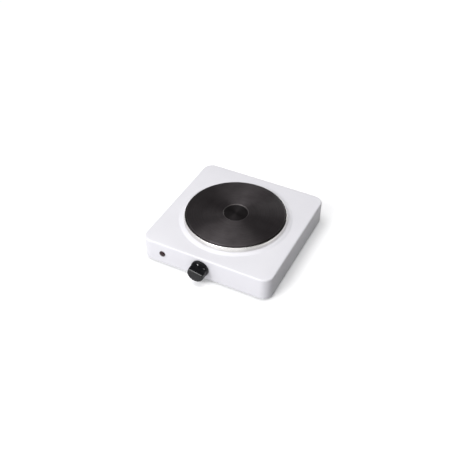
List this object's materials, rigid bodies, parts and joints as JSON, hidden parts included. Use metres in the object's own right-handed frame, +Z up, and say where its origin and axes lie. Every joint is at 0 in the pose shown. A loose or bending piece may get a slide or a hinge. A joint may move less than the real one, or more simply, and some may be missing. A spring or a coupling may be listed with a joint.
{
  "type": "electric hot plate",
  "caption": "Square enamelled electric hot plate: a round cast-iron cooking plate in a steel trim ring, with a front temperature knob, a pilot lamp and rubber feet.",
  "frame": {"origin": "centre of the underside of the object's box, on the surface that its feet stand on", "axes": "+Z up, -Y is the front with the knob and the lamp, +X to the right seen from the front"},
  "size_m": [0.25, 0.274, 0.061],
  "materials": {
    "enamel": "glossy",
    "galvanised_steel": "satin",
    "rubber": "matte",
    "cast_iron": "turned and blackened, satin",
    "stainless_steel": "polished",
    "plated_steel": "bright zinc",
    "brass": "satin",
    "bimetal": "rolled",
    "ceramic": "unglazed ceramic",
    "cement": "rough cement",
    "resistance_wire": "oxidised",
    "black_plastic": "moulded, satin gloss",
    "red_lens": "clear moulded",
    "clear_glass": "clear",
    "resistor_body": "lacquered",
    "insulation_brown": "sleeving",
    "insulation_black": "sleeving",
    "insulation_blue": "sleeving",
    "insulation_green": "sleeving",
    "insulation_white": "sleeving"
  },
  "bodies": {
    "chassis": {"casing": "enamel", "base_plate": "galvanised_steel", "plate_cover": "galvanised_steel", "clamp_bridge": "galvanised_steel", "thermostat_bracket": "galvanised_steel", "foot_front_left": "rubber", "foot_front_right": "rubber", "foot_rear_left": "rubber", "foot_rear_right": "rubber", "cord_gland": "rubber", "hot_plate": "cast_iron", "trim_ring": "stainless_steel", "foot_screw_front_left": "plated_steel", "foot_screw_front_right": "plated_steel", "foot_screw_rear_left": "plated_steel", "foot_screw_rear_right": "plated_steel", "clamp_stud": "plated_steel", "clamp_washer": "plated_steel", "clamp_nut": "plated_steel", "element_pin_inner": "plated_steel", "element_pin_outer": "plated_steel", "thermostat_screw_left": "plated_steel", "thermostat_screw_right": "plated_steel", "lamp_clip": "plated_steel", "block_screw": "plated_steel", "earth_screw": "plated_steel", "thermostat_bush": "brass", "stack_rivet": "brass", "fixed_blade": "brass", "terminal_screw_live": "brass", "terminal_screw_neutral": "brass", "earth_nut": "brass", "bimetal_strip": "bimetal", "terminal_bead_inner": "ceramic", "terminal_bead_outer": "ceramic", "spacer_front": "ceramic", "spacer_middle": "ceramic", "spacer_rear": "ceramic", "terminal_block": "ceramic", "coil_filler": "cement", "heating_coil": "resistance_wire", "lamp_lens": "red_lens", "neon_bulb": "clear_glass", "lamp_resistor": "resistor_body", "wire_live": "insulation_brown", "wire_switched": "insulation_black", "wire_neutral": "insulation_blue", "wire_earth": "insulation_green", "lamp_wire_live": "insulation_white", "lamp_wire_neutral": "insulation_white"},
    "control_knob": {"knob": "black_plastic", "knob_clip": "plated_steel", "spindle": "plated_steel", "stop_pin": "plated_steel"},
    "contact_blade": {"moving_blade": "brass"}
  },
  "joints": [
    {"name": "knob_turn", "type": "hinge", "parent": "chassis", "child": "control_knob", "pos_m": [-0.0055, -0.11645, 0.0275], "axis": [0, 1, 0], "range_deg": [-10, 260]},
    {"name": "blade_flex", "type": "hinge", "parent": "chassis", "child": "contact_blade", "pos_m": [0.0205, -0.1057, 0.0275], "axis": [0, 0, -1], "range_deg": [-0.1, 1.6]}
  ],
  "couplings": [
    {"joint": "blade_flex", "follows": "knob_turn", "ratio": 0.0059259}
  ]
}
